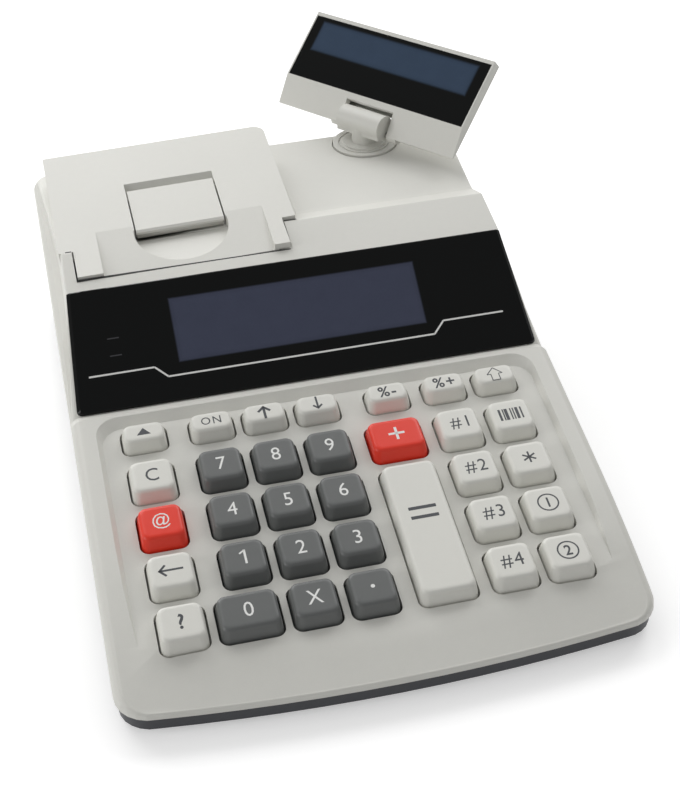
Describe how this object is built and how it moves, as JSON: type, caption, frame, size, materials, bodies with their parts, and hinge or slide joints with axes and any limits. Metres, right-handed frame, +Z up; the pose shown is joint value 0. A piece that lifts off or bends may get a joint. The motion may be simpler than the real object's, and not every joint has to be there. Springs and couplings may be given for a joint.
{
  "type": "ticket_register",
  "caption": "Counter-top ticket register with a sloping keypad, operator window, receipt printer under a hinged lid and a swivelling customer display.",
  "frame": {"origin": "centre of the bounding box in plan, on the counter under the rubber feet", "axes": "+X to the operator's right, +Y away from the operator towards the sockets, +Z up"},
  "size_m": [0.202, 0.3235, 0.1074],
  "materials": {
    "shell_plastic": "fine matt texture",
    "dark_plastic": "matt charcoal",
    "foot_rubber": "matt black rubber",
    "key_rubber": "grey silicone",
    "key_rubber_black": "black roller rubber",
    "screw_steel": "plated steel",
    "window_gloss": "glossy black panel",
    "display_glass": "slate blue display glass",
    "board_green": "green circuit board",
    "battery_wrap": "shrink wrap",
    "gear_plastic": "natural acetal",
    "grey_key": "matt grey keycap",
    "red_key": "matt red keycap",
    "white_key": "matt light keycap"
  },
  "bodies": {
    "base": {"lower_case": "dark_plastic", "upper_case": "shell_plastic", "rubber_feet": "foot_rubber", "case_screws": "screw_steel", "display_window": "window_gloss", "operator_display": "display_glass", "keypad_mat": "key_rubber", "keypad_board": "board_green", "main_board": "board_green", "battery_pack": "battery_wrap", "battery_door": "dark_plastic", "printer_frame": "dark_plastic", "print_head": "screw_steel", "paper_motor": "screw_steel", "lid_hinge_pin": "screw_steel"},
    "lid": {"printer_lid": "shell_plastic"},
    "latch": {"lid_latch": "shell_plastic"},
    "platen": {"platen_roller": "key_rubber_black", "platen_gear": "gear_plastic"},
    "motor_shaft": {"motor_gear": "gear_plastic"},
    "turret": {"display_turret": "shell_plastic", "turret_nut": "screw_steel"},
    "head": {"head_front": "shell_plastic", "head_back": "shell_plastic", "head_window": "window_gloss", "head_module": "display_glass", "tilt_pin": "screw_steel"},
    "key_eject_body": {"key_eject": "white_key"},
    "key_on_body": {"key_on": "white_key"},
    "key_up_body": {"key_up": "white_key"},
    "key_down_body": {"key_down": "white_key"},
    "key_percent_minus_body": {"key_percent_minus": "white_key"},
    "key_percent_plus_body": {"key_percent_plus": "white_key"},
    "key_shift_body": {"key_shift": "white_key"},
    "key_c_body": {"key_c": "white_key"},
    "key_price_body": {"key_price": "red_key"},
    "key_void_body": {"key_void": "white_key"},
    "key_lookup_body": {"key_lookup": "white_key"},
    "key_7_body": {"key_7": "grey_key"},
    "key_4_body": {"key_4": "grey_key"},
    "key_1_body": {"key_1": "grey_key"},
    "key_0_body": {"key_0": "grey_key"},
    "key_8_body": {"key_8": "grey_key"},
    "key_5_body": {"key_5": "grey_key"},
    "key_2_body": {"key_2": "grey_key"},
    "key_multiply_body": {"key_multiply": "grey_key"},
    "key_9_body": {"key_9": "grey_key"},
    "key_6_body": {"key_6": "grey_key"},
    "key_3_body": {"key_3": "grey_key"},
    "key_point_body": {"key_point": "grey_key"},
    "key_subtotal_body": {"key_subtotal": "red_key"},
    "key_total_body": {"key_total": "white_key"},
    "key_department_1_body": {"key_department_1": "white_key"},
    "key_department_2_body": {"key_department_2": "white_key"},
    "key_department_3_body": {"key_department_3": "white_key"},
    "key_department_4_body": {"key_department_4": "white_key"},
    "key_barcode_body": {"key_barcode": "white_key"},
    "key_star_body": {"key_star": "white_key"},
    "key_payment_1_body": {"key_payment_1": "white_key"},
    "key_payment_2_body": {"key_payment_2": "white_key"}
  },
  "joints": [
    {"name": "lid_hinge", "type": "hinge", "parent": "base", "child": "lid", "pos_m": [-0.04707, 0.10043, 0.07445], "axis": [-0.9997, 0, -0.0227], "range_deg": [0, 72]},
    {"name": "latch_pivot", "type": "hinge", "parent": "lid", "child": "latch", "pos_m": [-0.04485, 0.06946, 0.07384], "axis": [-0.9997, 0, -0.0227], "range_deg": [0, 22], "stiffness_Nm_per_rad": 0.02},
    {"name": "display_swivel", "type": "hinge", "parent": "base", "child": "turret", "pos_m": [0.04549, 0.10353, 0.06777], "axis": [0, 0, 1], "range_deg": [-93, 17]},
    {"name": "display_tilt", "type": "hinge", "parent": "turret", "child": "head", "pos_m": [0.04655, 0.10436, 0.07407], "axis": [-0.6157, 0.788, 0], "range_deg": [-25, 15]},
    {"name": "platen_spin", "type": "hinge", "parent": "base", "child": "platen", "pos_m": [-0.04479, 0.02943, 0.05852], "axis": [1, 0, 0], "continuous": true},
    {"name": "motor_spin", "type": "hinge", "parent": "base", "child": "motor_shaft", "pos_m": [-0.04479, 0.03244, 0.04729], "axis": [1, 0, 0], "continuous": true},
    {"name": "key_eject_press", "type": "slide", "parent": "base", "child": "key_eject_body", "axis": [0, 0.1908, -0.9816], "range_m": [0, 0.0025], "stiffness_N_per_m": 350, "springref_m": -0.0008},
    {"name": "key_on_press", "type": "slide", "parent": "base", "child": "key_on_body", "axis": [0, 0.1908, -0.9816], "range_m": [0, 0.0025], "stiffness_N_per_m": 350, "springref_m": -0.0008},
    {"name": "key_up_press", "type": "slide", "parent": "base", "child": "key_up_body", "axis": [0, 0.1908, -0.9816], "range_m": [0, 0.0025], "stiffness_N_per_m": 350, "springref_m": -0.0008},
    {"name": "key_down_press", "type": "slide", "parent": "base", "child": "key_down_body", "axis": [0, 0.1908, -0.9816], "range_m": [0, 0.0025], "stiffness_N_per_m": 350, "springref_m": -0.0008},
    {"name": "key_percent_minus_press", "type": "slide", "parent": "base", "child": "key_percent_minus_body", "axis": [0, 0.1908, -0.9816], "range_m": [0, 0.0025], "stiffness_N_per_m": 350, "springref_m": -0.0008},
    {"name": "key_percent_plus_press", "type": "slide", "parent": "base", "child": "key_percent_plus_body", "axis": [0, 0.1908, -0.9816], "range_m": [0, 0.0025], "stiffness_N_per_m": 350, "springref_m": -0.0008},
    {"name": "key_shift_press", "type": "slide", "parent": "base", "child": "key_shift_body", "axis": [0, 0.1908, -0.9816], "range_m": [0, 0.0025], "stiffness_N_per_m": 350, "springref_m": -0.0008},
    {"name": "key_c_press", "type": "slide", "parent": "base", "child": "key_c_body", "axis": [0, 0.1908, -0.9816], "range_m": [0, 0.0025], "stiffness_N_per_m": 350, "springref_m": -0.0008},
    {"name": "key_price_press", "type": "slide", "parent": "base", "child": "key_price_body", "axis": [0, 0.1908, -0.9816], "range_m": [0, 0.0025], "stiffness_N_per_m": 350, "springref_m": -0.0008},
    {"name": "key_void_press", "type": "slide", "parent": "base", "child": "key_void_body", "axis": [0, 0.1908, -0.9816], "range_m": [0, 0.0025], "stiffness_N_per_m": 350, "springref_m": -0.0008},
    {"name": "key_lookup_press", "type": "slide", "parent": "base", "child": "key_lookup_body", "axis": [0, 0.1908, -0.9816], "range_m": [0, 0.0025], "stiffness_N_per_m": 350, "springref_m": -0.0008},
    {"name": "key_7_press", "type": "slide", "parent": "base", "child": "key_7_body", "axis": [0, 0.1908, -0.9816], "range_m": [0, 0.0025], "stiffness_N_per_m": 350, "springref_m": -0.0008},
    {"name": "key_4_press", "type": "slide", "parent": "base", "child": "key_4_body", "axis": [0, 0.1908, -0.9816], "range_m": [0, 0.0025], "stiffness_N_per_m": 350, "springref_m": -0.0008},
    {"name": "key_1_press", "type": "slide", "parent": "base", "child": "key_1_body", "axis": [0, 0.1908, -0.9816], "range_m": [0, 0.0025], "stiffness_N_per_m": 350, "springref_m": -0.0008},
    {"name": "key_0_press", "type": "slide", "parent": "base", "child": "key_0_body", "axis": [0, 0.1908, -0.9816], "range_m": [0, 0.0025], "stiffness_N_per_m": 350, "springref_m": -0.0008},
    {"name": "key_8_press", "type": "slide", "parent": "base", "child": "key_8_body", "axis": [0, 0.1908, -0.9816], "range_m": [0, 0.0025], "stiffness_N_per_m": 350, "springref_m": -0.0008},
    {"name": "key_5_press", "type": "slide", "parent": "base", "child": "key_5_body", "axis": [0, 0.1908, -0.9816], "range_m": [0, 0.0025], "stiffness_N_per_m": 350, "springref_m": -0.0008},
    {"name": "key_2_press", "type": "slide", "parent": "base", "child": "key_2_body", "axis": [0, 0.1908, -0.9816], "range_m": [0, 0.0025], "stiffness_N_per_m": 350, "springref_m": -0.0008},
    {"name": "key_multiply_press", "type": "slide", "parent": "base", "child": "key_multiply_body", "axis": [0, 0.1908, -0.9816], "range_m": [0, 0.0025], "stiffness_N_per_m": 350, "springref_m": -0.0008},
    {"name": "key_9_press", "type": "slide", "parent": "base", "child": "key_9_body", "axis": [0, 0.1908, -0.9816], "range_m": [0, 0.0025], "stiffness_N_per_m": 350, "springref_m": -0.0008},
    {"name": "key_6_press", "type": "slide", "parent": "base", "child": "key_6_body", "axis": [0, 0.1908, -0.9816], "range_m": [0, 0.0025], "stiffness_N_per_m": 350, "springref_m": -0.0008},
    {"name": "key_3_press", "type": "slide", "parent": "base", "child": "key_3_body", "axis": [0, 0.1908, -0.9816], "range_m": [0, 0.0025], "stiffness_N_per_m": 350, "springref_m": -0.0008},
    {"name": "key_point_press", "type": "slide", "parent": "base", "child": "key_point_body", "axis": [0, 0.1908, -0.9816], "range_m": [0, 0.0025], "stiffness_N_per_m": 350, "springref_m": -0.0008},
    {"name": "key_subtotal_press", "type": "slide", "parent": "base", "child": "key_subtotal_body", "axis": [0, 0.1908, -0.9816], "range_m": [0, 0.0025], "stiffness_N_per_m": 350, "springref_m": -0.0008},
    {"name": "key_total_press", "type": "slide", "parent": "base", "child": "key_total_body", "axis": [0, 0.1908, -0.9816], "range_m": [0, 0.0025], "stiffness_N_per_m": 350, "springref_m": -0.0008},
    {"name": "key_department_1_press", "type": "slide", "parent": "base", "child": "key_department_1_body", "axis": [0, 0.1908, -0.9816], "range_m": [0, 0.0025], "stiffness_N_per_m": 350, "springref_m": -0.0008},
    {"name": "key_department_2_press", "type": "slide", "parent": "base", "child": "key_department_2_body", "axis": [0, 0.1908, -0.9816], "range_m": [0, 0.0025], "stiffness_N_per_m": 350, "springref_m": -0.0008},
    {"name": "key_department_3_press", "type": "slide", "parent": "base", "child": "key_department_3_body", "axis": [0, 0.1908, -0.9816], "range_m": [0, 0.0025], "stiffness_N_per_m": 350, "springref_m": -0.0008},
    {"name": "key_department_4_press", "type": "slide", "parent": "base", "child": "key_department_4_body", "axis": [0, 0.1908, -0.9816], "range_m": [0, 0.0025], "stiffness_N_per_m": 350, "springref_m": -0.0008},
    {"name": "key_barcode_press", "type": "slide", "parent": "base", "child": "key_barcode_body", "axis": [0, 0.1908, -0.9816], "range_m": [0, 0.0025], "stiffness_N_per_m": 350, "springref_m": -0.0008},
    {"name": "key_star_press", "type": "slide", "parent": "base", "child": "key_star_body", "axis": [0, 0.1908, -0.9816], "range_m": [0, 0.0025], "stiffness_N_per_m": 350, "springref_m": -0.0008},
    {"name": "key_payment_1_press", "type": "slide", "parent": "base", "child": "key_payment_1_body", "axis": [0, 0.1908, -0.9816], "range_m": [0, 0.0025], "stiffness_N_per_m": 350, "springref_m": -0.0008},
    {"name": "key_payment_2_press", "type": "slide", "parent": "base", "child": "key_payment_2_body", "axis": [0, 0.1908, -0.9816], "range_m": [0, 0.0025], "stiffness_N_per_m": 350, "springref_m": -0.0008}
  ],
  "couplings": [
    {"joint": "motor_spin", "follows": "platen_spin", "ratio": -2.2857}
  ]
}
